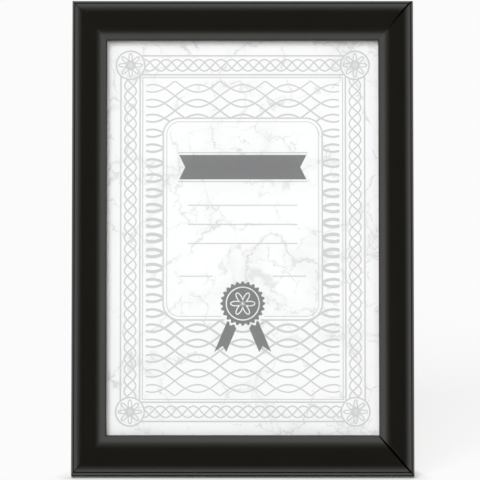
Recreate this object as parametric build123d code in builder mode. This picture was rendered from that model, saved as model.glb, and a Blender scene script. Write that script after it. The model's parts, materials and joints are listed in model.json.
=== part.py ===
"""Certificate frame for an A4 sheet, standing on the hinged strut behind it.

The frame leans back by `lean`. The origin is the middle of the lower rear edge that it stands on,
+Z points up, +X to the right of someone who looks at the front, and the front faces -Y.
Most pieces are drawn on `rear_plane`: its x runs to the right, its y up along the frame, its z from
the rear face of the rails towards the front.
"""

from build123d import *
from math import atan2, cos, degrees, radians, sin, tan
import os

# Driving dimensions, in millimetres and degrees.

# The stack in the rebate, from the board at the back to the glazing at the front
sheet_width = 210.0
sheet_height = 297.0
sheet_thickness = 0.3
glazing_thickness = 2.0
board_thickness = 3.0
sheet_play = 1.0
board_play = 0.5
stack_play = 0.1

# Rails: width of their faces, and how far the front lip reaches over the rebate
side_rail_width = 25.5
end_rail_width = 29.3
side_lip = 7.0
end_lip = 5.1

# Section of the moulding. Widths are those of a side rail; heights are counted down from the crown
crown_height = 14.0
rim_width = 1.5
rim_slope = 30.0
rim_drop = 2.8
groove_width = 0.7
groove_depth = 0.6
shoulder_angle = 40.0
shoulder_reach = 3.3
bevel_angle = 36.0
bevel_reach = 3.4
sight_drop = 4.4
sight_step = 0.2
sight_flat = 0.6

# V-nails across each mitre
v_nail_arm = 5.0
v_nail_thickness = 0.6
v_nail_depth = 7.0
v_nail_spacing = 9.0

# Turn buttons and their screws
button_inset = 7.0
button_to_corner_on_sides = 64.5
button_to_corner_on_ends = 34.0
button_reach = 14.0
button_pivot_radius = 5.0
button_tip_width = 7.0
button_tip_clip = 2.0
button_thickness = 1.0
button_gap = 0.1
screw_head_radius = 3.4
screw_head_height = 1.4
screw_shank_radius = 1.5
screw_depth = 7.0
pivot_play = 0.1

# Strut and its hinge
lean = 14.0
strut_opening = 24.0
hinge_height = 226.0
strut_thickness = 3.0
strut_gap = 0.3
strut_top_width = 46.0
strut_foot_width = 72.0
strut_corner_clip = 7.0
leaf_width = 36.0
leaf_length = 17.0
leaf_thickness = 0.8
leaf_corner_clip = 2.0
knuckle_length = 12.0
knuckle_gap = 0.3
pin_play = 0.05
stop_play = 0.05
hinge_rivet_spread = 11.0
hinge_rivet_offset = 10.5

# Hangers: a strap that is riveted to the board and a wire triangle that swings in it
portrait_hanger_drop = 26.0
landscape_hanger_inset = 24.0
strap_width = 9.0
strap_length = 15.0
strap_thickness = 0.7
strap_corner_clip = 2.0
strap_rivet_offset = 10.0
ring_wire_radius = 0.8
ring_half_width = 10.0
ring_height = 17.0
ring_bend = 1.6
ring_play = 0.15

# Rivets of the hinge and the hangers
rivet_head_radius = 2.2
rivet_head_height = 0.7
rivet_shank_radius = 1.4
rivet_play = 0.05

# Sizes that follow from the driving ones

rebate_width = sheet_width + 2 * sheet_play
rebate_height = sheet_height + 2 * sheet_play
rebate_depth = board_thickness + sheet_thickness + glazing_thickness + stack_play
sight_width = rebate_width - 2 * side_lip
sight_height = rebate_height - 2 * end_lip
outer_width = sight_width + 2 * side_rail_width
outer_height = sight_height + 2 * end_rail_width

barrel_radius = (strut_gap + strut_thickness + leaf_thickness) / 2
bore_radius = barrel_radius - leaf_thickness
loop_bore_radius = ring_wire_radius + ring_play
loop_radius = loop_bore_radius + strap_thickness
hinge_y = hinge_height - outer_height / 2


def leaning_plane(origin, angle):
    """Plane through `origin` that faces the viewer and leans back by `angle`."""
    return Plane(origin, x_dir=(1, 0, 0), z_dir=(0, -cos(radians(angle)), sin(radians(angle))))


def plane_on(base, x=0.0, y=0.0, z=0.0, turn=0.0):
    """Plane at (x, y, z) on the plane `base`, turned about that plane's z."""
    return Plane(base.location * Location((x, y, z), (0, 0, turn)))


def section_plane(base):
    """Plane across `base`: its x is that plane's x, its y that plane's z."""
    return Plane(base.location * Plane.XZ.location)


def axis_plane(base, x=0.0):
    """Plane across the x axis of `base`, at x: its x is that plane's y, its y that plane's z."""
    return Plane(base.location * Pos(x, 0, 0) * Plane.YZ.location)


frame_middle = (0, outer_height / 2 * sin(radians(lean)), outer_height / 2 * cos(radians(lean)))
rear_plane = leaning_plane(frame_middle, lean)
hinge_plane = plane_on(rear_plane, y=hinge_y, z=-barrel_radius)
strut_plane = leaning_plane(hinge_plane.origin, lean - strut_opening)
strut_rear_plane = strut_plane.offset(-bore_radius)

os.makedirs("parts", exist_ok=True)


def finish(piece, name):
    """Name a finished piece and write it."""
    piece.part.label = name
    export_step(piece.part, f"parts/{name}.step")


# Turn buttons: name, pivot on the rear plane, direction in which the tip points when it is closed

side_pivot_x = rebate_width / 2 + button_inset
side_pivot_y = rebate_height / 2 - button_to_corner_on_sides
end_pivot_x = rebate_width / 2 - button_to_corner_on_ends
end_pivot_y = rebate_height / 2 + button_inset
turn_buttons = [
    ("left_upper", (-side_pivot_x, side_pivot_y), 0),
    ("left_lower", (-side_pivot_x, -side_pivot_y), 0),
    ("right_upper", (side_pivot_x, side_pivot_y), 180),
    ("right_lower", (side_pivot_x, -side_pivot_y), 180),
    ("top_left", (-end_pivot_x, end_pivot_y), -90),
    ("top_right", (end_pivot_x, end_pivot_y), -90),
    ("bottom_left", (-end_pivot_x, -end_pivot_y), 90),
    ("bottom_right", (end_pivot_x, -end_pivot_y), 90),
]
button_pivots = [pivot for _, pivot, _ in turn_buttons]


def draw_v_nails():
    """Draw the outlines of the V-nails: two on each mitre line, apex towards the corner."""
    middle_x = (rebate_width + outer_width) / 4
    middle_y = (sight_height / 2) + (middle_x - sight_width / 2) * end_rail_width / side_rail_width
    mitre = atan2(end_rail_width, side_rail_width)
    tip = v_nail_thickness * 2 ** 0.5
    arm = v_nail_arm / 2 ** 0.5
    for x_side, y_side in [(1, 1), (-1, 1), (-1, -1), (1, -1)]:
        turn = degrees(atan2(y_side * sin(mitre), x_side * cos(mitre)))
        for along in (-v_nail_spacing / 2, v_nail_spacing / 2):
            spot = (x_side * (middle_x + along * cos(mitre)), y_side * (middle_y + along * sin(mitre)))
            with Locations(Location(spot, turn)):
                Polygon(
                    (0, 0),
                    (-arm, arm),
                    (-arm - tip, arm),
                    (-tip, 0),
                    (-arm - tip, -arm),
                    (-arm, -arm),
                    align=None,
                )


def draw_moulding(stretch):
    """Draw the section of the moulding: outer edge at x = 0, rear face on y = 0.

    The widths are multiplied by `stretch`, so that rails of two widths meet along one mitre line.
    """
    rim_height = crown_height - rim_drop
    rim_reach = rim_width / cos(radians(rim_slope))
    rim_break = rim_height - rim_reach * sin(radians(rim_slope))
    floor_height = rim_height - groove_depth
    slope = radians(shoulder_angle)
    shoulder_foot = rim_width + groove_width
    shoulder_break = shoulder_foot + shoulder_reach * cos(slope)
    shoulder_height = crown_height - shoulder_reach * sin(slope)
    sight_height_above_rear = crown_height - sight_drop
    bevel_end = side_rail_width - sight_flat
    bevel_break = bevel_end - (sight_drop - sight_step) / tan(radians(bevel_angle))
    bevel_start = bevel_break + bevel_reach * cos(radians(bevel_angle))
    bevel_start_height = crown_height - bevel_reach * sin(radians(bevel_angle))

    def at(across, height):
        return Vector(across * stretch, height)

    def bend(start, corner, end, turn):
        """Round the corner between two lines that turn by `turn` degrees, from `start` to `end`."""
        half_turn = cos(radians(turn / 2))
        chord_middle = (start + end) / 2
        ThreePointArc(start, chord_middle + (corner - chord_middle) * half_turn / (1 + half_turn), end)

    with BuildLine() as outline:
        Polyline(at(side_rail_width, 0), at(0, 0), at(0, rim_break - rim_reach))
        bend(at(0, rim_break - rim_reach), at(0, rim_break), at(rim_width, rim_height), 90 - rim_slope)
        Polyline(
            at(rim_width, rim_height),
            at(rim_width, floor_height),
            at(shoulder_foot, floor_height),
            at(shoulder_foot, shoulder_height),
        )
        bend(
            at(shoulder_foot, shoulder_height),
            at(shoulder_break, crown_height),
            at(shoulder_break + shoulder_reach, crown_height),
            shoulder_angle,
        )
        Line(at(shoulder_break + shoulder_reach, crown_height), at(bevel_break - bevel_reach, crown_height))
        bend(
            at(bevel_break - bevel_reach, crown_height),
            at(bevel_break, crown_height),
            at(bevel_start, bevel_start_height),
            bevel_angle,
        )
        Polyline(
            at(bevel_start, bevel_start_height),
            at(bevel_end, sight_height_above_rear + sight_step),
            at(bevel_end, sight_height_above_rear),
            at(side_rail_width, sight_height_above_rear),
            at(side_rail_width, 0),
        )
    make_face(outline.edges())


# Rails. Each is drawn as the rail on the left of a plane that is turned about the frame's middle

side = (outer_width / 2, sight_width / 2)
end = (outer_height / 2, sight_height / 2)
end_stretch = end_rail_width / side_rail_width
rails = [
    ("left_rail", 0, side, end, 1.0),
    ("bottom_rail", 90, end, side, end_stretch),
    ("right_rail", 180, side, end, 1.0),
    ("top_rail", 270, end, side, end_stretch),
]
for name, turn, (outer_reach, sight_reach), (outer_half, sight_half), stretch in rails:
    rail_plane = plane_on(rear_plane, turn=turn)
    with BuildPart() as rail:
        with BuildSketch(section_plane(plane_on(rail_plane, x=-outer_reach))):
            draw_moulding(stretch)
        extrude(amount=outer_half, both=True)
        with BuildSketch(rail_plane):
            with BuildLine():
                Polyline(
                    (-outer_reach, -outer_half),
                    (-sight_reach, -sight_half),
                    (-sight_reach, sight_half),
                    (-outer_reach, outer_half),
                    close=True,
                )
            make_face()
        extrude(amount=crown_height, mode=Mode.INTERSECT)
        with BuildSketch(rear_plane):
            Rectangle(rebate_width, rebate_height)
        extrude(amount=rebate_depth, mode=Mode.SUBTRACT)
        with BuildSketch(rear_plane):
            draw_v_nails()
        extrude(amount=v_nail_depth, mode=Mode.SUBTRACT)
        with BuildSketch(rear_plane):
            with Locations(*button_pivots):
                Circle(screw_shank_radius)
        extrude(amount=screw_depth, mode=Mode.SUBTRACT)
    finish(rail, name)

with BuildPart() as corner_v_nails:
    with BuildSketch(rear_plane):
        draw_v_nails()
    extrude(amount=v_nail_depth)
finish(corner_v_nails, "corner_v_nails")

# The stack in the rebate

hinge_rivets_on_leaf = [(-hinge_rivet_spread, hinge_rivet_offset), (hinge_rivet_spread, hinge_rivet_offset)]
hinge_rivets_on_board = [(x, hinge_y + y) for x, y in hinge_rivets_on_leaf]
hinge_rivets_on_strut = [(x, -y) for x, y in hinge_rivets_on_leaf]
portrait_hanger_y = rebate_height / 2 - portrait_hanger_drop
landscape_hanger_x = rebate_width / 2 - landscape_hanger_inset
hangers = [
    ("portrait", plane_on(rear_plane, y=portrait_hanger_y), lean),
    ("landscape", plane_on(rear_plane, x=landscape_hanger_x, turn=-90), 180),
]
hanger_rivets_on_board = [
    (0, portrait_hanger_y - strap_rivet_offset),
    (landscape_hanger_x - strap_rivet_offset, 0),
]

with BuildPart() as backing_board:
    with BuildSketch(rear_plane):
        Rectangle(rebate_width - 2 * board_play, rebate_height - 2 * board_play)
        with Locations(*hinge_rivets_on_board, *hanger_rivets_on_board):
            Circle(rivet_shank_radius + rivet_play, mode=Mode.SUBTRACT)
    extrude(amount=board_thickness)
finish(backing_board, "backing_board")

with BuildPart() as certificate_sheet:
    with BuildSketch(rear_plane.offset(board_thickness)):
        Rectangle(sheet_width, sheet_height)
    extrude(amount=sheet_thickness)
finish(certificate_sheet, "certificate_sheet")

with BuildPart() as glazing:
    with BuildSketch(rear_plane.offset(board_thickness + sheet_thickness)):
        Rectangle(sheet_width, sheet_height)
    extrude(amount=glazing_thickness)
finish(glazing, "glazing")

# Turn buttons and screws

for name, (pivot_x, pivot_y), turn in turn_buttons:
    with BuildPart() as turn_button:
        with BuildSketch(plane_on(rear_plane, pivot_x, pivot_y, -button_gap, turn)):
            Circle(button_pivot_radius)
            with Locations((button_reach, 0)):
                Trapezoid(button_tip_width, button_tip_clip, 45, rotation=-90, align=(Align.CENTER, Align.MAX))
            make_hull()
            Circle(screw_shank_radius + pivot_play, mode=Mode.SUBTRACT)
        extrude(amount=-button_thickness)
    finish(turn_button, f"turn_button_{name}")

def make_fasteners(head_plane, spots, head, shank, name):
    """Make fasteners whose heads sit on `head_plane` and whose shanks run along its z.

    `head` and `shank` each hold a radius and a length.
    """
    head_radius, head_height = head
    shank_radius, shank_length = shank
    with BuildPart() as fasteners:
        with BuildSketch(head_plane):
            with Locations(*spots):
                Circle(head_radius)
        extrude(amount=-head_height)
        with BuildSketch(head_plane):
            with Locations(*spots):
                Circle(shank_radius)
        extrude(amount=shank_length)
    finish(fasteners, name)


screw_seat = button_gap + button_thickness + button_gap
make_fasteners(
    rear_plane.offset(-screw_seat),
    button_pivots,
    (screw_head_radius, screw_head_height),
    (screw_shank_radius, screw_seat + screw_depth),
    "turn_button_screws",
)

# Hinge of the strut. In both leaves the sheet runs at a tangent into the knuckle around the pin

knuckle_clearance = barrel_radius + knuckle_gap
side_knuckle_length = (leaf_width - knuckle_length) / 2 - knuckle_gap

with BuildPart() as hinge_board_leaf:
    with BuildSketch(plane_on(rear_plane, y=hinge_y)) as board_leaf_outline:
        with Locations((0, leaf_length / 2)):
            Rectangle(leaf_width, leaf_length)
        chamfer(board_leaf_outline.vertices().group_by(Axis.Y)[-1], length=leaf_corner_clip)
        Rectangle(knuckle_length + 2 * knuckle_gap, 2 * knuckle_clearance, mode=Mode.SUBTRACT)
        with Locations(*hinge_rivets_on_leaf):
            Circle(rivet_shank_radius + rivet_play, mode=Mode.SUBTRACT)
    extrude(amount=-leaf_thickness)
    for start in (-leaf_width / 2, leaf_width / 2 - side_knuckle_length):
        with BuildSketch(axis_plane(hinge_plane, start)):
            Circle(barrel_radius)
        extrude(amount=side_knuckle_length)
        with BuildSketch(axis_plane(hinge_plane, start)):
            Circle(bore_radius)
        extrude(amount=side_knuckle_length, mode=Mode.SUBTRACT)
finish(hinge_board_leaf, "hinge_board_leaf")

# The end of the middle knuckle's sheet is left square: this corner meets the board when the strut is open
stop_length = (barrel_radius * (1 - sin(radians(strut_opening))) - stop_play) / cos(radians(strut_opening))

with BuildPart() as hinge_strut_leaf:
    with BuildSketch(strut_rear_plane) as strut_leaf_outline:
        with Locations((0, -leaf_length / 2)):
            Rectangle(leaf_width, leaf_length)
        chamfer(strut_leaf_outline.vertices().group_by(Axis.Y)[0], length=leaf_corner_clip)
        for x in (-leaf_width / 2, leaf_width / 2):
            with Locations((x, 0)):
                Rectangle(leaf_width - knuckle_length, 2 * knuckle_clearance, mode=Mode.SUBTRACT)
        with Locations(*hinge_rivets_on_strut):
            Circle(rivet_shank_radius + rivet_play, mode=Mode.SUBTRACT)
    extrude(amount=-leaf_thickness)
    with BuildSketch(axis_plane(strut_plane, -knuckle_length / 2)):
        Circle(barrel_radius)
        with Locations((bore_radius, 0)):
            Rectangle(leaf_thickness, stop_length, align=(Align.MIN, Align.MIN))
    extrude(amount=knuckle_length)
    with BuildSketch(axis_plane(strut_plane, -knuckle_length / 2)):
        Circle(bore_radius)
    extrude(amount=knuckle_length, mode=Mode.SUBTRACT)
finish(hinge_strut_leaf, "hinge_strut_leaf")

with BuildPart() as hinge_pin:
    with BuildSketch(axis_plane(hinge_plane, -leaf_width / 2)):
        Circle(bore_radius - pin_play)
    extrude(amount=leaf_width)
finish(hinge_pin, "hinge_pin")

rivet_head = (rivet_head_radius, rivet_head_height)
make_fasteners(
    rear_plane.offset(-leaf_thickness),
    hinge_rivets_on_board,
    rivet_head,
    (rivet_shank_radius, leaf_thickness + board_thickness),
    "hinge_board_rivets",
)
make_fasteners(
    strut_rear_plane.offset(-leaf_thickness),
    hinge_rivets_on_strut,
    rivet_head,
    (rivet_shank_radius, leaf_thickness + strut_thickness),
    "hinge_strut_rivets",
)

# Strut: a tapered leg, cut level with the table at its foot

strut_reach = hinge_plane.origin.Z / cos(radians(strut_opening - lean))
with BuildPart() as strut:
    with BuildSketch(strut_rear_plane) as strut_outline:
        with BuildLine():
            Polyline(
                (-strut_top_width / 2, -knuckle_clearance),
                (strut_top_width / 2, -knuckle_clearance),
                (strut_foot_width / 2, -strut_reach),
                (strut_foot_width / 2, -strut_reach - strut_thickness),
                (-strut_foot_width / 2, -strut_reach - strut_thickness),
                (-strut_foot_width / 2, -strut_reach),
                close=True,
            )
        make_face()
        chamfer(strut_outline.vertices().group_by(Axis.Y)[-1], length=strut_corner_clip)
        with Locations(*hinge_rivets_on_strut):
            Circle(rivet_shank_radius + rivet_play, mode=Mode.SUBTRACT)
    extrude(amount=strut_thickness)
    split(bisect_by=Plane.XY, keep=Keep.TOP)
finish(strut, "strut")

# Hangers. The wire triangle is drawn from the middle of its straight side to its apex, then back

slant = atan2(ring_height, ring_half_width)
ring_half = [
    (0, 0),
    (ring_half_width - ring_bend, 0),
    (ring_half_width - ring_bend * cos(slant), -ring_bend * sin(slant)),
    (ring_bend * cos(slant), ring_bend * sin(slant) - ring_height),
]

for name, hanger_plane, swing in hangers:
    loop_plane = hanger_plane.offset(-loop_radius)
    with BuildPart() as strap:
        with BuildSketch(hanger_plane) as strap_outline:
            with Locations((0, -strap_length / 2)):
                Rectangle(strap_width, strap_length)
            chamfer(strap_outline.vertices().group_by(Axis.Y)[0], length=strap_corner_clip)
            with Locations((0, -strap_rivet_offset)):
                Circle(rivet_shank_radius + rivet_play, mode=Mode.SUBTRACT)
        extrude(amount=-strap_thickness)
        with BuildSketch(axis_plane(loop_plane, -strap_width / 2)):
            Circle(loop_radius)
        extrude(amount=strap_width)
        with BuildSketch(axis_plane(loop_plane, -strap_width / 2)):
            Circle(loop_bore_radius)
        extrude(amount=strap_width, mode=Mode.SUBTRACT)
    finish(strap, f"{name}_hanger_strap")

    with BuildPart() as ring:
        with BuildLine(Plane(loop_plane.location * Rot(swing, 0, 0))) as ring_path:
            Polyline(*ring_half, *[(-x, y) for x, y in reversed(ring_half)])
        with BuildSketch(Plane(origin=ring_path.line @ 0, z_dir=ring_path.line % 0)):
            Circle(ring_wire_radius)
        sweep(transition=Transition.RIGHT)
    finish(ring, f"{name}_hanger_ring")

make_fasteners(
    rear_plane.offset(-strap_thickness),
    hanger_rivets_on_board,
    rivet_head,
    (rivet_shank_radius, strap_thickness + board_thickness),
    "hanger_rivets",
)
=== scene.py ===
"""Looks of a certificate frame: black mitred moulding, clear glazing, a printed sheet and the hardware behind.

Most pieces are drawn in the frame's own axes, in metres: x to the right of someone who looks at the front,
y up along the frame from its middle, z from the rear face of the rails towards the front.
"""

import json
from functools import partial
from math import atan2, cos, pi, radians, sin, tan

import bmesh
import bpy
from bmesh.types import BMEdge, BMVert
from mathutils import Matrix, Vector


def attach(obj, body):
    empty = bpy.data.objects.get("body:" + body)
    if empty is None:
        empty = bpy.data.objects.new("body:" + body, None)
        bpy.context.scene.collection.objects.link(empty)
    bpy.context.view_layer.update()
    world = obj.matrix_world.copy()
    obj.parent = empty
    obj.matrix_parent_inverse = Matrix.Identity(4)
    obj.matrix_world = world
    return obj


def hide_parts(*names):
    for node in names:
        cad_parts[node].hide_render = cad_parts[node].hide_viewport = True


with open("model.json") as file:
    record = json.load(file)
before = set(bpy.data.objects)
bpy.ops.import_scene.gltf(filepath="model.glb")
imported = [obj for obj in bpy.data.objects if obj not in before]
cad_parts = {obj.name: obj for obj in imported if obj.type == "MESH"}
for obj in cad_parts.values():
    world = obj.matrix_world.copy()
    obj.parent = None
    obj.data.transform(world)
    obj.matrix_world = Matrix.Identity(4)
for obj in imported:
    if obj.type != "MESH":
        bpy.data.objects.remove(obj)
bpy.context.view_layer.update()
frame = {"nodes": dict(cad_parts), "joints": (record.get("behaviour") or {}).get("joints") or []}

bl_info = {
    "name": "Certificate frame",
    "version": (1, 0, 0),
    "blender": (4, 5, 0),
    "location": "View3D > Sidebar > Certificate frame",
    "description": "Makes the moulding, the printed sheet, the hardware and the stage of a certificate frame",
    "category": "Add Mesh",
}

joints = {joint["name"]: joint for joint in frame["joints"]}
button_joints = {
    name.removesuffix("_swivel"): joint for name, joint in joints.items() if name.startswith("turn_button")
}
front = -Vector(next(iter(button_joints.values()))["axis"])
right = Vector((1, 0, 0))
up = front.cross(right)


# Settings

def number(name, description, default, **limits):
    """A setting of one number, or of several."""
    several = isinstance(default, tuple)
    kind = partial(bpy.props.FloatVectorProperty, size=len(default)) if several else bpy.props.FloatProperty
    return kind(name=name, description=description, default=default, **limits)


def angle(name, description, degrees):
    """A setting of an angle."""
    return number(name, description, radians(degrees), subtype="ANGLE", unit="ROTATION")


length = partial(number, precision=5, subtype="DISTANCE", unit="LENGTH")
lengths = partial(number, precision=5, subtype="XYZ_LENGTH", unit="LENGTH")
share = partial(number, min=0, max=1, subtype="FACTOR")
strength = partial(number, min=0)
direction = partial(number, subtype="XYZ")  # to the right, up and to the front of the frame
colour = partial(number, min=0, max=1, subtype="COLOR")  # in linear light


class MouldingSettings(bpy.types.PropertyGroup):
    """Section and finish of the rails. Heights are counted down from the crown."""

    outer_width: length("Outer width", "Width of the whole frame", 0.249)
    outer_height: length("Outer height", "Height of the whole frame, along its lean", 0.3474)
    side_width: length("Side rail width", "Width of a side rail's face", 0.0255)
    end_width: length("End rail width", "Width of the top and bottom rails' faces", 0.0293)
    side_lip: length("Side lip", "How far a side rail reaches over the rebate", 0.007)
    end_lip: length("End lip", "How far an end rail reaches over the rebate", 0.0051)
    rebate_depth: length("Rebate depth", "Depth of the rebate from the rear", 0.0054)
    crown_height: length("Crown height", "Height of the section above its rear face", 0.014)
    rim_width: length("Rim width", "Width of the rim at the outer edge", 0.0015)
    rim_slope: angle("Rim slope", "Slope of the round rim where it meets the groove", 30)
    rim_drop: length("Rim drop", "How far the rim lies below the crown", 0.0028)
    groove_width: length("Groove width", "Width of the groove inside the rim", 0.0007)
    groove_depth: length("Groove depth", "Depth of the groove below the rim", 0.0006)
    shoulder_angle: angle("Shoulder angle", "Slope of the outer shoulder at the groove", 40)
    shoulder_reach: length("Shoulder reach", "Length of the shoulder's rounding on each side", 0.0033)
    bevel_angle: angle("Bevel angle", "Slope of the inner bevel", 36)
    bevel_reach: length("Bevel reach", "Length of the bevel's rounding on each side", 0.0034)
    sight_drop: length("Sight drop", "How far the sight edge lies below the crown", 0.0044)
    sight_step: length("Sight step", "Height of the step at the foot of the bevel", 0.0002)
    sight_flat: length("Sight flat", "Width of the flat at the sight edge", 0.0006)
    edge_ease: length("Edge easing", "Easing of the small edges", 0.00012)
    sight_ease: length("Sight easing", "Rounding of the sight edge", 0.00045)
    mitre_gaps: lengths(
        "Mitre gaps", "How far each mitre is open at its outer corner, from the top left round by the bottom",
        (0.0006, 0.0008, 0.0015, 0.0019),
    )
    mitre_toes: lengths(
        "Mitre toes", "The same at the sight corner, below 0 where a mitre shuts before it",
        (-0.0008, -0.0008, 0.0015, -0.0004),
    )
    mitre_shares: number(
        "Mitre shares", "Share of each gap that is cut off the rail after that corner", (0.5, 0.5, 0.0, 1.0),
    )
    mitre_depth: length("Mitre depth", "Depth below the crown at which a mitre is tight", 0.0084)
    black: colour("Black", "Colour of the moulding", (0.0070, 0.0065, 0.0042))
    gloss_roughness: share("Roughness", "Roughness of the satin surface", 0.25)


class SheetSettings(bpy.types.PropertyGroup):
    """Print on the sheet, the glazing over it and the board behind it."""

    white: colour("Paper white", "Colour of the bare paper", (0.955, 0.955, 0.957))
    vein: colour("Vein grey", "Colour of the faint marbling", (0.70, 0.70, 0.71))
    pale: colour("Pale grey", "Colour of the fine lines", (0.64, 0.64, 0.645))
    accent: colour("Middle grey", "Colour of the banner and the seal", (0.235, 0.235, 0.24))
    border_half_width: length("Border half width", "From the middle to the side border", 0.082)
    border_half_height: length("Border half height", "From the middle to the end border", 0.127)
    line_width: length("Line width", "Width of a fine line", 0.0011)
    clarity: colour("Glazing tint", "Light that the glazing lets through", (0.996, 0.998, 0.997))
    board: colour("Board brown", "Colour of the fibre board", (0.30, 0.185, 0.105))


class HardwareSettings(bpy.types.PropertyGroup):
    """Metal pieces behind the frame."""

    zinc: colour("Zinc", "Colour of the zinc plating", (0.43, 0.43, 0.42))
    brass: colour("Brass", "Colour of the brass plating", (0.52, 0.37, 0.15))
    button_pivot_radius: length("Button pivot radius", "Radius of a turn button at its screw", 0.005)
    button_reach: length("Button reach", "From the screw to the tip of a turn button", 0.014)
    button_tip_width: length("Button tip width", "Width of a turn button at its tip", 0.007)
    button_tip_clip: length("Button tip clip", "Length of the clipped corners at the tip", 0.002)
    button_thickness: length("Button thickness", "Thickness of a turn button", 0.001)
    button_gap: length("Button gap", "Gap under and over a turn button", 0.0001)
    button_ease: length("Button easing", "Easing of a turn button's edges", 0.00018)
    screw_head_radius: length("Screw head radius", "Radius of a screw's head", 0.0034)
    screw_head_height: length("Screw head height", "Height of a screw's head", 0.0017)
    recess_length: length("Recess length", "Length of the cross recess", 0.0036)
    recess_width: length("Recess width", "Width of a slot of the cross recess", 0.0008)
    recess_depth: length("Recess depth", "Depth of the cross recess", 0.0008)
    recess_turn: angle("Recess turn", "How far the first screw's recess is turned", 35)
    recess_step: angle("Recess step", "How much further each next screw's recess is turned", 50)
    rivet_head_radius: length("Rivet head radius", "Radius of a rivet's head", 0.0022)
    rivet_head_height: length("Rivet head height", "Height of a rivet's head", 0.0009)
    nail_arm: length("Corner nail arm", "Length of each arm of a corner nail", 0.005)
    nail_thickness: length("Corner nail thickness", "Thickness of a corner nail", 0.0006)
    nail_depth: length("Corner nail depth", "How much of a corner nail is made", 0.0003)
    nail_spacing: length("Corner nail spacing", "Distance between the two nails of a corner", 0.009)
    nail_proud: length("Corner nail stand", "How far a corner nail stands out of the rail", 0.00004)
    leaf_thickness: length("Leaf thickness", "Thickness of the hinge's leaves", 0.0008)
    hinge_rivet_spread: length("Hinge rivet spread", "From the middle of a leaf to each rivet", 0.011)
    hinge_rivet_offset: length("Hinge rivet offset", "From the pin to the rivets of a leaf", 0.0105)
    strap_thickness: length("Strap thickness", "Thickness of a hanger's strap", 0.0007)
    strap_rivet_offset: length("Strap rivet offset", "From a hanger's wire to the strap's rivet", 0.010)
    wire_radius: length("Wire radius", "Radius of a hanger's wire", 0.0008)
    wire_half_width: length("Wire half width", "Half the width of a hanger's triangle", 0.010)
    wire_height: length("Wire height", "Height of a hanger's triangle", 0.017)
    wire_bend: length("Wire bend", "Radius of the bends in the wire", 0.0013)


class StageSettings(bpy.types.PropertyGroup):
    """Camera, light and floor."""

    camera_distance: length("Camera distance", "From the frame to the camera", 4.0)
    camera_height: angle("Camera height", "How far the camera looks down from level", 8)
    picture_width: length("Picture width", "Width of what the picture takes in", 0.3492)
    picture_right: length("Picture right", "Middle of the picture to the right of the frame's", -0.0020)
    picture_up: length("Picture up", "Middle of the picture above the frame's", -0.0023)
    ambient: strength("Ambient", "Brightness of the light from all around", 0.12)
    tent: strength("Tent", "Brightness of the white tent that the gloss mirrors", 1.5)
    tent_opening: strength("Tent opening", "Brightness of the tent's opening round the camera", 0.04)
    tent_rear: strength("Tent rear", "Brightness of the tent behind the frame", 0.5)
    key_strength: strength("Key light", "Strength of the lamp at the upper left", 1.84)
    key_spread: angle("Key spread", "Apparent size of that lamp", 34)
    key_from: direction("Key from", "Where that lamp stands", (-0.30, 0.42, 1.0))
    front_strength: strength("Front light", "Strength of the lamp straight in front", 0.45)
    front_spread: angle("Front spread", "Apparent size of that lamp", 10)
    front_from: direction("Front from", "Where that lamp stands", (0.0, 0.02, 1.0))
    rear_strength: strength("Rear light", "Strength of the lamp above and behind the frame", 1.9)
    rear_spread: angle("Rear spread", "Apparent size of that lamp", 60)
    rear_from: direction("Rear from", "Where that lamp stands", (0.0, 1.0, -0.55))
    floor: colour("Floor", "Colour of the floor", (0.97, 0.97, 0.97))
    floor_size: length("Floor size", "Side of the floor", 12.0)
    floor_white: share("Floor white", "Share of plain white in what the camera sees of the floor", 0.7)
    foot_depth: length("Foot depth", "How far behind the frame's edge the strut stands", 0.095)
    shadow_margin: length("Shadow margin", "How far round the foot the shadow is whole", 0.004)
    shadow_end: length("Shadow end", "How far round the foot the shadow is down to its share", 0.016)
    shadow_taper: share("Shadow taper", "How fast the whole shadow narrows towards the strut", 0.45)
    shadow_trail: strength("Shadow trail", "How many times slower the shadow fades behind the strut", 6)


def frame_axes():
    """Matrix of the frame's own axes, with the middle of its rear face as the origin."""
    middle = up * bpy.context.scene.moulding.outer_height / 2
    axes = Matrix((right, up, front)).transposed().to_4x4()
    return Matrix.Translation(middle) @ axes


# Shading

MILLIMETRES = 1000  # in a metre


class Value:
    """A socket in an expression: arithmetic on it adds Math nodes."""

    def __init__(self, nodes, socket):
        self.nodes = nodes
        self.socket = socket

    def math(self, operation, *others):
        return self.nodes.calculate(operation, self, *others)

    def __add__(self, other):
        return self.math("ADD", other)

    __radd__ = __add__

    def __sub__(self, other):
        return self.math("SUBTRACT", other)

    def __rsub__(self, other):
        return self.nodes.calculate("SUBTRACT", other, self)

    def __mul__(self, other):
        return self.math("MULTIPLY", other)

    __rmul__ = __mul__

    def __truediv__(self, other):
        return self.math("DIVIDE", other)

    def __neg__(self):
        return self.math("MULTIPLY", -1)

    def __abs__(self):
        return self.math("ABSOLUTE")

    def __mod__(self, other):
        return self.math("FLOORED_MODULO", other)

    def __gt__(self, other):
        return self.math("GREATER_THAN", other)

    def largest(self, *others):
        """The largest of this value and others."""
        for other in others:
            self = self.math("MAXIMUM", other)
        return self

    def twin(self, name):
        """Another output of the same node."""
        return Value(self.nodes, self.socket.node.outputs[name])

    def fade(self, low, high):
        """0 up to `low`, 1 from `high` on, and smooth between them. `low` may be the larger."""
        sockets = {"Value": self, "From Min": low, "From Max": high}
        return self.nodes.add("MapRange", sockets, interpolation_type="SMOOTHSTEP")

    def within(self, limit, soft):
        """1 where the value is under `limit`, 0 where it is over."""
        return self.fade(limit + soft, limit - soft)


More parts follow.
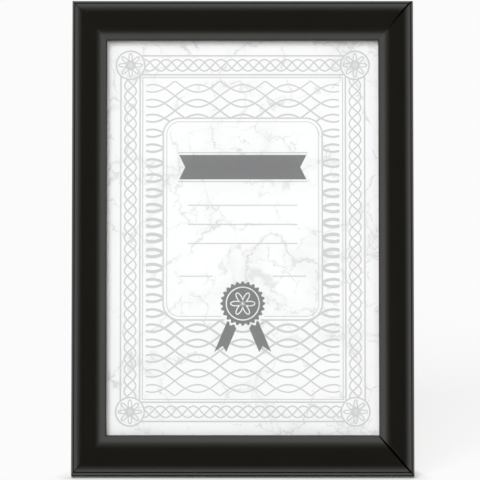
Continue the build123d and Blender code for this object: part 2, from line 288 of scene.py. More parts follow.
class Nodes:
    """Adds nodes to one node tree."""

    def __init__(self, tree):
        tree.nodes.clear()
        self.tree = tree

    def add(self, kind, sockets=None, output=0, **settings):
        """Add a node, set it up, feed its sockets and return one of its outputs."""
        node = self.tree.nodes.new("ShaderNode" + kind)
        for name, setting in settings.items():
            setattr(node, name, setting)
        for key, value in (sockets or {}).items():
            if isinstance(value, Value):
                self.tree.links.new(value.socket, node.inputs[key])
            else:
                node.inputs[key].default_value = value
        return Value(self, node.outputs[output]) if node.outputs else None

    def calculate(self, operation, *terms):
        """Do one sum with a Math node."""
        return self.add("Math", dict(enumerate(terms)), operation=operation)

    def mix(self, factor, first, second):
        """Blend two colours."""
        first, second = (rgba(c) if not isinstance(c, Value) else c for c in (first, second))
        return self.add("Mix", {0: factor, 6: first, 7: second}, output=2, data_type="RGBA")

    def own_axes(self, axes):
        """Coordinates along `axes`, in millimetres."""
        place = {
            "Vector": self.add("TexCoord").twin("Object"),
            "Location": axes.translation,
            "Rotation": axes.to_euler(),
            "Scale": [1 / MILLIMETRES] * 3,
        }
        return self.add("Mapping", place, vector_type="TEXTURE")

    def along(self, vector, axis):
        """How far a vector reaches along an axis."""
        return self.add("VectorMath", {0: vector, 1: axis}, output="Value", operation="DOT_PRODUCT")

    def tinted(self, tint, times):
        """A colour multiplied by a number."""
        return self.add("VectorMath", {0: tuple(tint), "Scale": times}, operation="SCALE")

    def noise(self, vector, scale, detail, roughness=0.5, distortion=0.0):
        """Cloudy noise from 0 to 1. `scale` is one number, or three to stretch the clouds along the axes."""
        if not isinstance(scale, (int, float)):
            vector = self.add("VectorMath", {0: vector, 1: scale}, operation="MULTIPLY")
            scale = 1
        sockets = {"Vector": vector, "Scale": scale, "Detail": detail}
        return self.add("TexNoise", {**sockets, "Roughness": roughness, "Distortion": distortion})

    def bump(self, height, amount, distance):
        """Surface normal from a height."""
        return self.add("Bump", {"Height": height, "Strength": amount, "Distance": distance})

    def surface(self, shader):
        """Use `shader` as the surface."""
        self.add("OutputMaterial", {"Surface": shader})


def length_of(x, y):
    """Length of the slant side over two values."""
    return (x * x + y * y).math("SQRT")


def rgba(rgb):
    """A colour as the four numbers that a socket takes."""
    return (*rgb[:3], 1.0)


def new_material(name):
    """An empty material and its nodes."""
    material = bpy.data.materials.new(name)
    material.use_nodes = True
    return material, Nodes(material.node_tree)


def dress(material, *names):
    """Give a material to CAD nodes."""
    for name in names:
        frame["nodes"][name].material_slots[0].material = material


# Modelling

TOUCHING = 1e-6  # points that are nearer count as one, in metres


def add_piece(name, bm, axes, material, body, node, smooth=30):
    """Place a modelled piece and let it stand for a CAD node."""
    bmesh.ops.transform(bm, matrix=axes, verts=bm.verts)
    mesh = bpy.data.meshes.new(name)
    bm.to_mesh(mesh)
    bm.free()
    if not mesh.polygons:
        raise RuntimeError(f"{name} has no faces")
    mesh.polygons.foreach_set("use_smooth", [True] * len(mesh.polygons))
    mesh.set_sharp_from_angle(angle=radians(smooth))
    mesh.materials.append(material)
    piece = bpy.data.objects.new(name, mesh)
    bpy.context.scene.collection.objects.link(piece)
    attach(piece, body)
    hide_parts(node)


def only(kind, geometry):
    """The elements of one kind in a list of bmesh elements."""
    return [element for element in geometry if isinstance(element, kind)]


def extrude(bm, faces, by):
    """Extrude faces with their edges and move the new ones."""
    edges = {edge for face in faces for edge in face.edges}
    grown = bmesh.ops.extrude_face_region(bm, geom=[*faces, *edges])["geom"]
    bmesh.ops.translate(bm, vec=by, verts=only(BMVert, grown))


def cut_off(bm, geometry, point, normal):
    """Cut off what lies past a plane, close the cut and return what is left."""
    cut = bmesh.ops.bisect_plane(bm, geom=geometry, plane_co=point, plane_no=normal, clear_outer=True)
    bmesh.ops.edgeloop_fill(bm, edges=only(BMEdge, cut["geom_cut"]))
    return cut["geom"]


def make_prism(bm, outline, depth):
    """Make a solid from an outline on z = 0, `depth` thick."""
    face = bm.faces.new([bm.verts.new((x, y, 0)) for x, y in outline])
    extrude(bm, [face], (0, 0, depth))


def make_dome(bm, radius, height, centre):
    """Make a fastener's round head that rises towards -z from a flat seat."""
    made = bmesh.ops.create_uvsphere(bm, u_segments=32, v_segments=16, radius=radius)["verts"]
    bmesh.ops.scale(bm, vec=(1, 1, height / radius), verts=made)
    faces = {face for vert in made for face in vert.link_faces}
    edges = {edge for vert in made for edge in vert.link_edges}
    dome = cut_off(bm, [*made, *edges, *faces], (0, 0, 0), (0, 0, 1))
    bmesh.ops.translate(bm, vec=centre, verts=only(BMVert, dome))


def close_and_turn(bm):
    """Merge doubles and let all faces point outwards."""
    bmesh.ops.remove_doubles(bm, verts=bm.verts, dist=TOUCHING)
    bmesh.ops.recalc_face_normals(bm, faces=bm.faces)


# Moulding

def moulding_corners(m, stretch, lip):
    """Corners of the section: distance from the outer edge, height, rounding and its number of segments."""
    rim = m.crown_height - m.rim_drop
    rim_reach = m.rim_width / cos(m.rim_slope)
    foot = m.rim_width + m.groove_width
    shoulder = foot + m.shoulder_reach * cos(m.shoulder_angle)
    sight = m.crown_height - m.sight_drop
    bevel_end = m.side_width - m.sight_flat
    bevel = bevel_end - (m.sight_drop - m.sight_step) / tan(m.bevel_angle)
    rebate = m.side_width - lip / stretch
    ease = m.edge_ease
    nearly = 0.97  # keeps a rounding clear of the next corner
    return [
        (0, 0, 2 * ease, 3),
        (0, rim - rim_reach * sin(m.rim_slope), nearly * rim_reach, 8),
        (m.rim_width, rim, 0, 0),
        (m.rim_width, rim - m.groove_depth, 0, 0),
        (foot, rim - m.groove_depth, 0, 0),
        (foot, m.crown_height - m.shoulder_reach * sin(m.shoulder_angle), 0, 0),
        (shoulder, m.crown_height, nearly * m.shoulder_reach, 14),
        (bevel, m.crown_height, m.bevel_reach, 14),
        (bevel_end, sight + m.sight_step, ease, 3),
        (bevel_end, sight, 0, 0),
        (m.side_width, sight, m.sight_ease, 6),
        (m.side_width, m.rebate_depth, ease, 3),
        (rebate, m.rebate_depth, 0, 0),
        (rebate, 0, ease, 3),
    ]


def moulding_finish(m, name, along):
    """Satin black plastic: faint streaks along the rail, fine pores and a few specks of dust."""
    material, nodes = new_material(name)
    place = nodes.own_axes(frame_axes())
    streaks = nodes.noise(place, [0.004 if axis == along else 1.6 for axis in range(3)], detail=3)
    clouds = nodes.noise(place, 0.05, detail=3)
    pores = nodes.noise(place, 2.2, detail=2)
    cells = nodes.add("TexVoronoi", {"Vector": place, "Scale": 0.07})
    dust = cells.within(0.022, 0.008) * clouds.fade(0.5, 0.6)
    nodes.surface(nodes.add("BsdfPrincipled", {
        "Base Color": nodes.tinted(m.black, 0.94 + 0.12 * clouds + 4 * dust),
        "Roughness": m.gloss_roughness - 0.05 + 0.06 * clouds + 0.04 * streaks + 0.3 * dust,
        "IOR": 1.6,
        "Normal": nodes.bump(0.6 * pores + 0.4 * streaks, amount=0.12, distance=0.00003),
    }))
    return material


class MakeRails(bpy.types.Operator):
    """Make the four mitred rails"""

    bl_idname = "certificate_frame.rails"
    bl_label = "Moulding"

    def execute(self, context):
        m = context.scene.moulding
        sides = moulding_finish(m, "black_moulding_upright", 1)
        ends = moulding_finish(m, "black_moulding_level", 0)
        half_width, half_height = m.outer_width / 2, m.outer_height / 2
        stretch = m.end_width / m.side_width
        upright = (half_width, half_height), (m.side_width, m.end_width), 1, m.side_lip, sides
        level = (half_height, half_width), (m.end_width, m.side_width), stretch, m.end_lip, ends
        self.rail(m, "left", 0, *upright)
        self.rail(m, "bottom", 1, *level)
        self.rail(m, "right", 2, *upright)
        self.rail(m, "top", 3, *level)
        return {"FINISHED"}

    def rail(self, m, name, turns, reach, widths, stretch, lip, material):
        """Make one rail as the left one, cut at its mitres, and turn it about the frame's middle."""
        bm = bmesh.new()
        outer, half = reach
        corners = moulding_corners(m, stretch, lip)
        verts = [bm.verts.new((across, -half, height)) for across, height, _, _ in corners]
        bm.faces.new(verts)
        for vert, (_, _, rounding, segments) in zip(verts, corners):
            if rounding:
                bmesh.ops.bevel(
                    bm, geom=[vert], offset=rounding, offset_type="OFFSET", affect="VERTICES",
                    segments=segments, profile=0.5, material=-1, clamp_overlap=False,
                )
        bmesh.ops.scale(bm, vec=(stretch, 1, 1), verts=bm.verts)
        bmesh.ops.translate(bm, vec=(-outer, 0, 0), verts=bm.verts)
        extrude(bm, bm.faces[:], (0, 2 * half, 0))
        for side, corner in ((1, turns), (-1, (turns + 1) % 4)):
            part = m.mitre_shares[corner] if side > 0 else 1 - m.mitre_shares[corner]
            heel, toe = part * m.mitre_gaps[corner], part * m.mitre_toes[corner]
            mitre = Vector((widths[0], -side * widths[1], 0))
            closed = Vector((widths[1], side * widths[0], 0))
            tilt = Vector((0, 0, mitre.length * heel / m.mitre_depth))
            opened = closed + (toe - heel) * mitre.normalized() + tilt
            pivot = (-outer, side * half, m.crown_height - m.mitre_depth)
            # The second cut opens the mitre above the pivot, where the rail has a part in the gap.
            for normal in (closed, opened) if part else (closed,):
                cut_off(bm, [*bm.verts, *bm.edges, *bm.faces], pivot, normal)
        close_and_turn(bm)
        axes = frame_axes() @ Matrix.Rotation(turns * pi / 2, 4, "Z")
        add_piece(f"moulding_{name}", bm, axes, material, "frame", f"{name}_rail", smooth=16)


# Sheet, glazing and boards

class SheetPrint:
    """Blank certificate, the same left and right, in millimetres from the sheet's middle.

    Each part is 1 on the ink and 0 off it.
    """

    soft = 0.12  # half the blur of an edge
    thin, thinner = 0.7, 0.5  # times the width of a fine line

    def __init__(self, nodes, s):
        self.nodes = nodes
        self.place = nodes.own_axes(frame_axes())
        parts = nodes.add("SeparateXYZ", {0: self.place})
        self.x, self.y = abs(parts), parts.twin("Y")
        self.half_line = s.line_width * MILLIMETRES / 2
        self.from_side = self.x - s.border_half_width * MILLIMETRES
        self.from_end = abs(self.y) - s.border_half_height * MILLIMETRES
        self.from_border = self.from_side.largest(self.from_end)

    def line(self, distance, times=1.0, slope=0):
        """A fine line where a distance is nought. `slope` keeps a slanting line as wide as a level one."""
        if slope:
            distance = distance / (1 + slope * slope).math("SQRT")
        return abs(distance).within(self.half_line * times, self.soft)

    def inside(self, distance, limit=0):
        """The area where a distance is under a limit."""
        return distance.within(limit, self.soft)

    def flower(self, radius, turn, petals, middle, swing):
        """Outline of a flower: a circle of radius `middle` that swings in and out for each petal."""
        wave = petals * turn
        edge = radius - middle - swing * wave.math("COSINE")
        return self.line(edge, 0.8, swing * petals * wave.math("SINE") / radius)

    def border(self):
        """Three strands woven between rules, with a flower at each corner."""
        swing, pitch = 4.2, 24
        disc, eye = 10.4, 2.6
        on_side = self.from_side > self.from_end
        along = (on_side * abs(self.y) + (1 - on_side) * self.x) * (2 * pi / pitch)
        lines = [self.line(self.from_border - place, times) for place, times in ((7, 1), (-7, 1), (-9, 0.6))]
        for third in range(3):
            turn = along + third * 2 * pi / 3
            wave = self.from_border - swing * turn.math("COSINE")
            lines.append(self.line(wave, 0.9, swing * 2 * pi / pitch * turn.math("SINE")))
        radius = length_of(self.from_side, self.from_end)
        turn = self.from_end.math("ARCTAN2", self.from_side)
        flower = self.flower(radius, turn, petals=8, middle=6.2, swing=2.4)
        corner = flower.largest(self.line(radius - disc), self.line(radius - eye, 2))
        return corner.largest(radius.fade(disc + 0.2, disc + 0.6) * lines[0].largest(*lines[1:]))

    def field(self):
        """Waved lines that cross, bolder towards the middle."""
        swing, pitch, spacing, margin = 8.25, 66, 11, 11.5
        turn = self.x * (2 * pi / pitch)
        wave = swing * turn.math("COSINE")
        slope = swing * 2 * pi / pitch * turn.math("SINE")
        weight = 2.3 - 0.013 * abs(self.y)
        rising, falling = [
            self.line(((self.y + level) % spacing - spacing / 2) / weight, 1, slope) for level in (wave, -wave)
        ]
        return self.inside(self.from_border + margin) * rising.largest(falling)

    def panel(self):
        """Distance from the edge of the plain panel in the middle."""
        level, half_width, half_height, corner = 14, 46, 62, 12
        past_end = abs(self.y - level) - half_height
        return length_of((self.x - half_width).largest(0), past_end.largest(0)) - corner

    def rules(self):
        """Lines to write on, and two to sign on."""
        half_width, signing_middle, signing_half_width = 40, 34, 12
        *lines, signing = [self.line(self.y - level, self.thin) for level in (24, 10, -4, -28)]
        signing = signing * self.inside(abs(self.x - signing_middle), signing_half_width)
        return signing.largest(self.inside(self.x, half_width) * lines[0].largest(*lines[1:]))

    def banner(self):
        """Banner with notched ends, and the thin lines along it."""
        level, half_width, half_height, to_line = 52, 42, 9, 10.6
        across = abs(self.y - level)
        ends = self.inside(self.x - 0.5 * across, half_width)
        return ends * self.inside(across, half_height), ends * self.line(across - to_line, self.thin)

    def seal(self):
        """Scalloped seal with two ribbon tails, and the bare edge round the seal."""
        level, edge, ring, margin = -48, 15.5, 12, 2
        tail_half_width, tail_reach = 4.4, 31
        x, y = self.x, self.y - level
        radius = length_of(x, y)
        turn = y.math("ARCTAN2", x)
        scallops = radius - edge - 0.9 * (24 * turn).math("COSINE")
        flower = self.flower(radius, turn, petals=6, middle=6.2, swing=2.6)
        disc = self.inside(scallops) * (1 - self.line(radius - ring, 0.8)) * (1 - flower)
        clear = self.inside(scallops, margin)
        across = abs(x + 0.42 * y - 1.5)
        tails = self.inside(across, tail_half_width) * self.inside(-y - across, tail_reach) * self.inside(y)
        return disc, tails * (1 - clear), clear

    def marbling(self):
        """Thin jagged veins in clusters, with smudges along them."""
        nodes = self.nodes
        drift = nodes.noise(self.place, 0.035, detail=6, roughness=0.65).twin("Color")
        bent = nodes.add("VectorMath", {0: drift, 1: (40, 40, 0), 2: self.place}, operation="MULTIPLY_ADD")
        cluster = nodes.noise(self.place, 0.017, detail=3)
        broken = nodes.noise(self.place, 0.09, detail=2).fade(0.36, 0.52)
        wide, narrow = [
            nodes.add("TexVoronoi", {"Vector": bent, "Scale": scale}, feature="DISTANCE_TO_EDGE")
            for scale in (0.022, 0.06)
        ]
        smudges = 0.22 * wide.fade(0.14, 0.0) * cluster.fade(0.42, 0.62)
        coarse = 0.85 * wide.within(0.011, 0.009) * broken * cluster.fade(0.34, 0.48)
        fine = 0.65 * narrow.within(0.024, 0.018) * broken * cluster.fade(0.46, 0.56)
        return coarse.largest(fine, smudges)


def print_finish(s):
    """White paper with faint marbling, printed in two greys."""
    material, nodes = new_material("printed_paper")
    sheet = SheetPrint(nodes, s)
    edge = sheet.panel()
    banner, banner_lines = sheet.banner()
    seal, tails, clear = sheet.seal()
    field = sheet.field() * (1 - sheet.inside(edge))
    inset = 2.6
    outline = sheet.line(edge).largest(sheet.line(edge + inset, sheet.thinner))
    pale = sheet.border().largest(field, outline, sheet.rules(), banner_lines) * (1 - clear) * (1 - tails)
    accent = banner.largest(seal, tails)
    fibres = nodes.noise(sheet.place, 1.4, detail=3)
    paper = nodes.mix(sheet.marbling(), s.white, s.vein)
    inked = nodes.mix(pale * (0.94 + 0.1 * fibres), paper, s.pale)
    inked = nodes.mix(accent * (0.93 + 0.1 * fibres), inked, s.accent)
    nodes.surface(nodes.add("BsdfPrincipled", {
        "Base Color": inked,
        "Roughness": 0.62 - 0.12 * accent + 0.06 * fibres,
        "Specular IOR Level": 0.3,
        "Normal": nodes.bump(fibres, amount=0.15, distance=0.00002),
    }))
    return material


def glazing_finish(s):
    """Clear sheet: it lets the light through and mirrors a little, more at a slant, with faint wiping marks."""
    material, nodes = new_material("clear_glazing")
    place = nodes.own_axes(frame_axes())
    wiped = nodes.noise(place, (0.03, 0.008, 0.03), detail=4, roughness=0.6, distortion=0.8)
    mirror = nodes.add("Fresnel", {"IOR": 1.45}) * (0.45 + 0.1 * wiped)
    clear = nodes.add("BsdfTransparent", {"Color": rgba(s.clarity)})
    smeared = 0.02 + 0.05 * wiped.fade(0.55, 0.8)
    gloss = nodes.add("BsdfGlossy", {"Color": (1, 1, 1, 1), "Roughness": smeared})
    nodes.surface(nodes.add("MixShader", {0: mirror, 1: clear, 2: gloss}))
    return material


def board_finish(s, name, axes):
    """Brown fibre board: matted fibres, dark specks and scuffed spots."""
    material, nodes = new_material(name)
    place = nodes.own_axes(axes)
    fibres = nodes.noise(place, (0.9, 0.35, 0.9), detail=5, roughness=0.65, distortion=0.9)
    crossing = nodes.noise(place, (0.3, 1.1, 0.9), detail=4, roughness=0.6, distortion=1.1)
    clouds = nodes.noise(place, 0.02, detail=3)
    specks = nodes.noise(place, 1.7, detail=1).fade(0.66, 0.74)
    tone = 0.62 + 0.36 * fibres + 0.26 * crossing + 0.20 * clouds - 0.35 * specks
    scuffs = nodes.noise(place, 0.05, detail=5, roughness=0.7, distortion=0.5).fade(0.60, 0.78)
    scuffed = [1.6 * part for part in s.board]
    nodes.surface(nodes.add("BsdfPrincipled", {
        "Base Color": nodes.mix(0.18 * scuffs, nodes.tinted(s.board, tone), scuffed),
        "Roughness": 0.66 + 0.16 * fibres - 0.1 * scuffs,
        "Normal": nodes.bump(0.6 * fibres + 0.4 * crossing, amount=0.5, distance=0.00012),
    }))
    return material


class FinishSheet(bpy.types.Operator):
    """Print the sheet and finish the glazing over it"""

    bl_idname = "certificate_frame.sheet"
    bl_label = "Sheet and glazing"

    def execute(self, context):
        s = context.scene.sheet
        dress(print_finish(s), "certificate_sheet")
        dress(glazing_finish(s), "glazing")
        return {"FINISHED"}


class FinishBoards(bpy.types.Operator):
    """Finish the backing board and the strut"""

    bl_idname = "certificate_frame.boards"
    bl_label = "Backing board and strut"

    def execute(self, context):
        s = context.scene.sheet
        dress(board_finish(s, "fibre_board", frame_axes()), "backing_board")
        dress(board_finish(s, "fibre_board_strut", strut_axes()), "strut")
        return {"FINISHED"}


# Hardware

def on_frame(joint):
    """Place of a joint in the frame's own axes."""
    return frame_axes().inverted() @ Vector(joints[joint]["pos_m"])


def strut_axes():
    """Axes of the strut: its hinge as the origin, y up along the strut, z towards the front."""
    fold = joints["strut_fold"]
    lean = atan2(front.z, -front.y) + radians(fold["range_deg"][0])
    return Matrix.Translation(fold["pos_m"]) @ Matrix.Rotation(pi / 2 - lean, 4, "X")


def plated_finish(name, tint, roughness):
    """Plated metal: fine scratches in two directions, dull patches and darker specks. It is made only once."""
    if name in bpy.data.materials:
        return bpy.data.materials[name]
    material, nodes = new_material(name)
    place = nodes.own_axes(frame_axes())
    lengthwise = nodes.noise(place, (0.15, 6.0, 6.0), detail=2)
    crosswise = nodes.noise(place, (5.0, 0.2, 5.0), detail=2)
    clouds = nodes.noise(place, 0.25, detail=3, roughness=0.6)
    specks = nodes.noise(place, 1.3, detail=1).fade(0.68, 0.76)
    tone = 0.86 + 0.12 * lengthwise + 0.14 * clouds - 0.22 * specks
    nodes.surface(nodes.add("BsdfPrincipled", {
        "Base Color": nodes.tinted(tint, tone),
        "Metallic": 1.0,
        "Roughness": roughness + 0.12 * clouds + 0.08 * crosswise + 0.15 * specks,
        "Normal": nodes.bump(0.5 * lengthwise + 0.5 * crosswise, amount=0.2, distance=0.00002),
    }))
    return material


def zinc_finish(h):
    """Zinc plating."""
    return plated_finish("zinc_plate", h.zinc, roughness=0.26)


def brass_finish(h):
    """Brass plating."""
    return plated_finish("brass_plate_finish", h.brass, roughness=0.2)


class FinishHinge(bpy.types.Operator):
    """Finish the hinge of the strut and the straps of the hangers"""

    bl_idname = "certificate_frame.hinge"
    bl_label = "Hinge and straps"

    def execute(self, context):
        h = context.scene.hardware
        dress(zinc_finish(h), "hinge_board_leaf", "hinge_strut_leaf", "hinge_pin")
        dress(brass_finish(h), "portrait_hanger_strap", "landscape_hanger_strap")
        return {"FINISHED"}


class MakeCornerNails(bpy.types.Operator):
    """Make the V-shaped nails across the mitres"""

    bl_idname = "certificate_frame.corner_nails"
    bl_label = "Corner nails"

    def execute(self, context):
        m, h = context.scene.moulding, context.scene.hardware
        bm = bmesh.new()
        rebate = m.outer_width / 2 - m.side_width + m.side_lip
        middle_x = (rebate + m.outer_width / 2) / 2
        middle_y = m.outer_height / 2 - (m.outer_width / 2 - middle_x) * m.end_width / m.side_width
        mitre = atan2(m.end_width, m.side_width)
        tip, arm = h.nail_thickness * 2 ** 0.5, h.nail_arm / 2 ** 0.5
        outline = [(0, 0), (-arm, arm), (-arm - tip, arm), (-tip, 0), (-arm - tip, -arm), (-arm, -arm)]
        for x_side, y_side in ((1, 1), (-1, 1), (-1, -1), (1, -1)):
            for along in (-h.nail_spacing / 2, h.nail_spacing / 2):
                nail = bmesh.new()
                make_prism(nail, outline, h.nail_depth)
                spot = (x_side * (middle_x + along * cos(mitre)), y_side * (middle_y + along * sin(mitre)))
                turn = atan2(y_side * sin(mitre), x_side * cos(mitre))
                place = Matrix.Translation((*spot, -h.nail_proud)) @ Matrix.Rotation(turn, 4, "Z")
                bmesh.ops.transform(nail, matrix=place, verts=nail.verts)
                join(bm, nail)
        close_and_turn(bm)
        add_piece("mitre_nails", bm, frame_axes(), zinc_finish(h), "frame", "corner_v_nails")
        return {"FINISHED"}


def join(bm, other):
    """Add another bmesh and free it."""
    mesh = bpy.data.meshes.new("joined")
    other.to_mesh(mesh)
    other.free()
    bm.from_mesh(mesh)
    bpy.data.meshes.remove(mesh)


def cut_cross(bm, h):
    """Sink a cross recess into the top of a round head at the origin."""
    half_width, half_length = h.recess_width / 2, h.recess_length / 2
    off_edges = radians(3)  # so that no edge of the head runs through a corner of the cross
    bmesh.ops.rotate(bm, matrix=Matrix.Rotation(off_edges, 3, "Z"), verts=bm.verts)
    for limit in (-half_length, -half_width, half_width, half_length):
        for normal in (Vector((1, 0, 0)), Vector((0, 1, 0))):
            bmesh.ops.bisect_plane(
                bm, geom=[*bm.verts, *bm.edges, *bm.faces], plane_co=limit * normal, plane_no=normal
            )
    slots = []
    for face in bm.faces:
        middle = face.calc_center_median()
        reach = sorted((abs(middle.x), abs(middle.y)))
        if middle.z < -TOUCHING and reach[0] < half_width and reach[1] < half_length:
            slots.append(face)
    extrude(bm, slots, (0, 0, h.recess_depth))


class MakeScrews(bpy.types.Operator):
    """Make the round-headed screws of the turn buttons"""

    bl_idname = "certificate_frame.screws"
    bl_label = "Turn-button screws"

    def execute(self, context):
        h = context.scene.hardware
        bm = bmesh.new()
        for index, joint in enumerate(button_joints.values()):
            head = bmesh.new()
            make_dome(head, h.screw_head_radius, h.screw_head_height, (0, 0, 0))
            cut_cross(head, h)
            seat = on_frame(joint["name"]) + Vector((0, 0, -h.button_thickness - h.button_gap))
            turn = Matrix.Rotation(h.recess_turn + h.recess_step * index, 4, "Z")
            bmesh.ops.transform(head, matrix=Matrix.Translation(seat) @ turn, verts=head.verts)
            join(bm, head)
        close_and_turn(bm)
        add_piece("button_screws", bm, frame_axes(), zinc_finish(h), "frame", "turn_button_screws")
        return {"FINISHED"}


class MakeTurnButtons(bpy.types.Operator):
    """Make the turn buttons that hold the board in"""

    bl_idname = "certificate_frame.turn_buttons"
    bl_label = "Turn buttons"

    def execute(self, context):
        h = context.scene.hardware
        closed = {"left": 0, "right": 180, "top": -90, "bottom": 90}
        for name, joint in button_joints.items():
            bm = bmesh.new()
            wide, narrow = h.button_tip_width / 2, h.button_tip_width / 2 - h.button_tip_clip
            for level in (0, -h.button_thickness):
                bmesh.ops.create_circle(
                    bm, segments=48, radius=h.button_pivot_radius, matrix=Matrix.Translation((0, 0, level))
                )
                for side in (1, -1):
                    bm.verts.new((h.button_reach - h.button_tip_clip, side * wide, level))
                    bm.verts.new((h.button_reach, side * narrow, level))
            bmesh.ops.delete(bm, geom=bm.edges[:], context="EDGES_FACES")
            bmesh.ops.convex_hull(bm, input=bm.verts[:])
            bmesh.ops.dissolve_limit(bm, angle_limit=radians(1), verts=bm.verts[:], edges=bm.edges[:])
            close_and_turn(bm)
            rims = [edge for edge in bm.edges if abs(edge.verts[0].co.z - edge.verts[1].co.z) < TOUCHING]
            bmesh.ops.bevel(
                bm, geom=rims, offset=h.button_ease, affect="EDGES", segments=2, profile=0.5, material=-1
            )
            turn = Matrix.Rotation(radians(closed[name.split("_")[2]]), 4, "Z")
            axes = frame_axes() @ Matrix.Translation(on_frame(joint["name"])) @ turn
            piece = name.replace("turn_button", "button")
            add_piece(piece, bm, axes, zinc_finish(h), name, name, smooth=25)
        return {"FINISHED"}


class MakeRivets(bpy.types.Operator):
    """Make the round heads of the hinge's and the hangers' rivets"""

    bl_idname = "certificate_frame.rivets"
    bl_label = "Rivets"

    def execute(self, context):
        h = context.scene.hardware
        pin, portrait, landscape = map(on_frame, ("strut_fold", "portrait_ring_swing", "landscape_ring_swing"))
        spread = (-h.hinge_rivet_spread, h.hinge_rivet_spread)
        board = [(x, pin.y + h.hinge_rivet_offset, -h.leaf_thickness) for x in spread]
        strut = [(x, -h.hinge_rivet_offset, pin.z) for x in spread]
        straps = [
            (0, portrait.y - h.strap_rivet_offset, -h.strap_thickness),
            (landscape.x - h.strap_rivet_offset, 0, -h.strap_thickness),
        ]
        zinc, brass = zinc_finish(h), brass_finish(h)
        self.rivets(h, "hinge_rivets_board", board, frame_axes(), zinc, "frame", "steel", "hinge_board_rivets")
        self.rivets(h, "hinge_rivets_strut", strut, strut_axes(), zinc, "strut", "steel", "hinge_strut_rivets")
        self.rivets(h, "strap_rivets", straps, frame_axes(), brass, "frame", "brass_plate", "hanger_rivets")
        return {"FINISHED"}

    def rivets(self, h, name, spots, axes, material, body, slot, node):
        """Make the rivets of one group."""
        bm = bmesh.new()
        for spot in spots:
            make_dome(bm, h.rivet_head_radius, h.rivet_head_height, spot)
        close_and_turn(bm)
        add_piece(name, bm, axes, material, body, node)


class MakeHangerRings(bpy.types.Operator):
    """Make the wire triangles that the frame hangs from"""

    bl_idname = "certificate_frame.hanger_rings"
    bl_label = "Hanger rings"

    def execute(self, context):
        h = context.scene.hardware
        lean = atan2(front.z, -front.y)
        portrait = Matrix.Translation(on_frame("portrait_ring_swing")) @ Matrix.Rotation(lean, 4, "X")
        landscape = (
            Matrix.Translation(on_frame("landscape_ring_swing"))
            @ Matrix.Rotation(-pi / 2, 4, "Z")
            @ Matrix.Rotation(pi, 4, "X")
        )
        for name, axes in (("portrait", portrait), ("landscape", landscape)):
            node = f"{name}_hanger_ring"
            bm = self.wire(h)
            add_piece(f"wire_ring_{name}", bm, frame_axes() @ axes, brass_finish(h), node, node)
        return {"FINISHED"}

    def wire(self, h):
        """Bend a wire from the middle of its straight side round the triangle and back."""
        bm = bmesh.new()
        slant = atan2(h.wire_height, h.wire_half_width)
        turn = pi - slant
        trim = h.wire_bend * tan(turn / 2)
        apex_turn = 2 * pi - 2 * turn
        apex_trim = h.wire_bend * tan(apex_turn / 2)
        side = (h.wire_half_width ** 2 + h.wire_height ** 2) ** 0.5
        made = bmesh.ops.create_circle(
            bm, segments=20, radius=h.wire_radius, matrix=Matrix.Rotation(pi / 2, 4, "Y")
        )["verts"]
        loop = list({edge for vert in made for edge in vert.link_edges})
        spot, heading = Vector((0, 0, 0)), 0.0
        runs = [
            (h.wire_half_width - trim, turn),
            (side - trim - apex_trim, apex_turn),
            (side - trim - apex_trim, turn),
            (h.wire_half_width - trim, 0),
        ]
        for run, bend in runs:
            step = Vector((cos(heading), -sin(heading), 0)) * run
            grown = bmesh.ops.extrude_edge_only(bm, edges=loop)["geom"]
            bmesh.ops.translate(bm, vec=step, verts=only(BMVert, grown))
            spot += step
            loop = [edge for edge in only(BMEdge, grown) if self.across(edge, spot, heading)]
            if bend:
                centre = spot + Vector((-sin(heading), -cos(heading), 0)) * h.wire_bend
                last = bmesh.ops.spin(
                    bm, geom=[*{v for e in loop for v in e.verts}, *loop], cent=centre, axis=(0, 0, -1),
                    angle=bend, steps=10, use_duplicate=False,
                )["geom_last"]
                loop = only(BMEdge, last)
                spot = centre + Matrix.Rotation(-bend, 3, "Z") @ (spot - centre)
                heading += bend
        close_and_turn(bm)
        return bm

    def across(self, edge, spot, heading):
        """Whether an edge lies in the wire's cross-section at `spot`."""
        way = Vector((cos(heading), -sin(heading), 0))
        return all(abs((vert.co - spot).dot(way)) < TOUCHING for vert in edge.verts)


# Stage

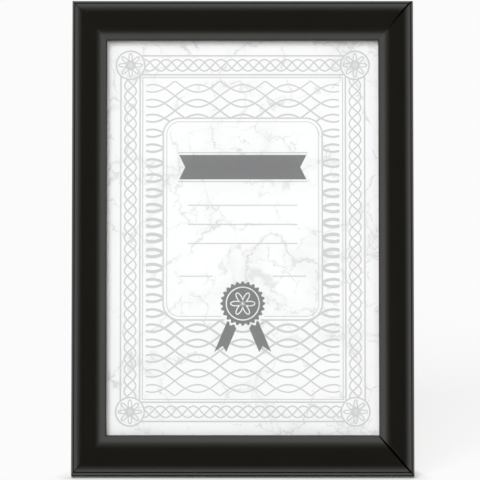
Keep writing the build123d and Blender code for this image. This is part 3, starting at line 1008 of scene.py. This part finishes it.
class MakeStage(bpy.types.Operator):
    """Make the floor, the light and the camera"""

    bl_idname = "certificate_frame.stage"
    bl_label = "Stage"

    def execute(self, context):
        scene = context.scene
        st = scene.stage
        self.floor(scene, st)
        self.surround(scene, st)
        for name in ("key", "front", "rear"):
            self.lamp(scene, name, *(getattr(st, f"{name}_{what}") for what in ("strength", "spread", "from")))
        self.camera(scene, st)
        scene.view_settings.view_transform = "Standard"
        return {"FINISHED"}

    def floor(self, scene, st):
        """Pale floor that keeps the whole shadow from the frame's foot to the strut, and some of the rest."""
        bm = bmesh.new()
        bmesh.ops.create_grid(bm, x_segments=1, y_segments=1, size=st.floor_size / 2)
        mesh = bpy.data.meshes.new("floor")
        bm.to_mesh(mesh)
        bm.free()
        material, nodes = new_material("pale_floor")
        place = nodes.add("TexCoord").twin("Object")
        grain = nodes.noise(place, 40, detail=3)
        lit = nodes.add("BsdfPrincipled", {
            "Base Color": nodes.tinted(st.floor, 0.995 + 0.01 * grain),
            "Roughness": 0.9,
            "Specular IOR Level": 0.0,
        })
        parts = nodes.add("SeparateXYZ", {0: place})
        depth = parts.twin("Y")
        beside = abs(parts) + depth.largest(0) * st.shadow_taper - scene.moulding.outer_width / 2
        past_end = (-depth).largest((depth - st.foot_depth) / st.shadow_trail, 0)
        away = length_of(beside.largest(0), past_end).fade(st.shadow_margin, st.shadow_end)
        # Painted light: for the camera the floor glows plain white, which pales its real shadow everywhere
        # except round the foot, from the frame's edge back to the strut, where the shadow stays whole.
        white = nodes.add("Emission", {"Color": (1, 1, 1, 1), "Strength": 1.0})
        seen = nodes.add("LightPath").twin("Is Camera Ray")
        nodes.surface(nodes.add("MixShader", {0: st.floor_white * seen * away, 1: lit, 2: white}))
        mesh.materials.append(material)
        floor = bpy.data.objects.new("floor", mesh)
        floor.visible_glossy = False
        scene.collection.objects.link(floor)

    def surround(self, scene, st):
        """Even light from all around, and for mirrored light a white tent.

        The tent is dark round the camera and dim behind the frame. Low down behind it has a dark strip,
        which the underside of the frame mirrors.
        """
        scene.world = bpy.data.worlds.new("surround")
        scene.world.use_nodes = True
        nodes = Nodes(scene.world.node_tree)
        ray = nodes.add("TexCoord").twin("Generated")
        facing, rising, aside = nodes.along(ray, front), nodes.along(ray, up), abs(nodes.along(ray, right))
        opening = (st.tent - st.tent_opening) * facing.fade(0.45, 0.97)
        rear = (st.tent - st.tent_rear) * facing.fade(-0.70, -0.96)
        strip = rising.fade(0.03, -0.05) * facing.fade(-0.3, -0.65) * aside.fade(0.22, 0.07)
        tent = (st.tent - opening - rear) * (1 - strip)
        seen = nodes.add("LightPath").twin("Is Camera Ray")
        mirrored = seen.twin("Is Glossy Ray")
        brightness = seen + (1 - seen) * (mirrored * tent + (1 - mirrored) * st.ambient)
        nodes.add("OutputWorld", {"Surface": nodes.add("Background", {"Strength": brightness})})

    def lamp(self, scene, name, power, spread, place):
        """Soft lamp that is left out of what the gloss mirrors."""
        light = bpy.data.lights.new(f"{name}_lamp", "SUN")
        light.energy = power
        light.angle = spread
        lamp = bpy.data.objects.new(light.name, light)
        towards = frame_axes().to_3x3() @ Vector(place)
        lamp.location = frame_axes().translation + towards
        lamp.rotation_euler = towards.to_track_quat("Z", "Y").to_euler()
        lamp.visible_glossy = False
        scene.collection.objects.link(lamp)

    def camera(self, scene, st):
        """Camera before the front, far enough for a flat view, aimed at the level of the rim."""
        lens = bpy.data.cameras.new("camera")
        lens.lens = lens.sensor_width * st.camera_distance / st.picture_width
        camera = bpy.data.objects.new("camera", lens)
        rim = scene.moulding.crown_height - scene.moulding.rim_drop
        aim = frame_axes() @ Vector((st.picture_right, st.picture_up, rim))
        back = Vector((0, -cos(st.camera_height), sin(st.camera_height)))
        camera.location = aim + st.camera_distance * back
        camera.rotation_euler = (pi / 2 - st.camera_height, 0, 0)
        scene.collection.objects.link(camera)
        scene.camera = camera


class CertificateFramePanel(bpy.types.Panel):
    """Lists the steps that make the frame"""

    bl_idname = "VIEW3D_PT_certificate_frame"
    bl_label = "Certificate frame"
    bl_space_type = "VIEW_3D"
    bl_region_type = "UI"
    bl_category = "Certificate frame"

    def draw(self, context):
        for step in steps:
            self.layout.operator(step.bl_idname)


settings = {
    "moulding": MouldingSettings,
    "sheet": SheetSettings,
    "hardware": HardwareSettings,
    "stage": StageSettings,
}
steps = [
    MakeRails, FinishSheet, FinishBoards, FinishHinge, MakeCornerNails, MakeScrews, MakeTurnButtons,
    MakeRivets, MakeHangerRings, MakeStage,
]


def register():
    for name, group in settings.items():
        bpy.utils.register_class(group)
        setattr(bpy.types.Scene, name, bpy.props.PointerProperty(type=group))
    for step in (*steps, CertificateFramePanel):
        bpy.utils.register_class(step)


def unregister():
    for step in reversed((*steps, CertificateFramePanel)):
        bpy.utils.unregister_class(step)
    for name, group in settings.items():
        delattr(bpy.types.Scene, name)
        bpy.utils.unregister_class(group)


def main():
    register()
    bpy.ops.certificate_frame.rails()
    bpy.ops.certificate_frame.sheet()
    bpy.ops.certificate_frame.boards()
    bpy.ops.certificate_frame.hinge()
    bpy.ops.certificate_frame.corner_nails()
    bpy.ops.certificate_frame.screws()
    bpy.ops.certificate_frame.turn_buttons()
    bpy.ops.certificate_frame.rivets()
    bpy.ops.certificate_frame.hanger_rings()
    bpy.ops.certificate_frame.stage()


if __name__ == "__main__":
    main()
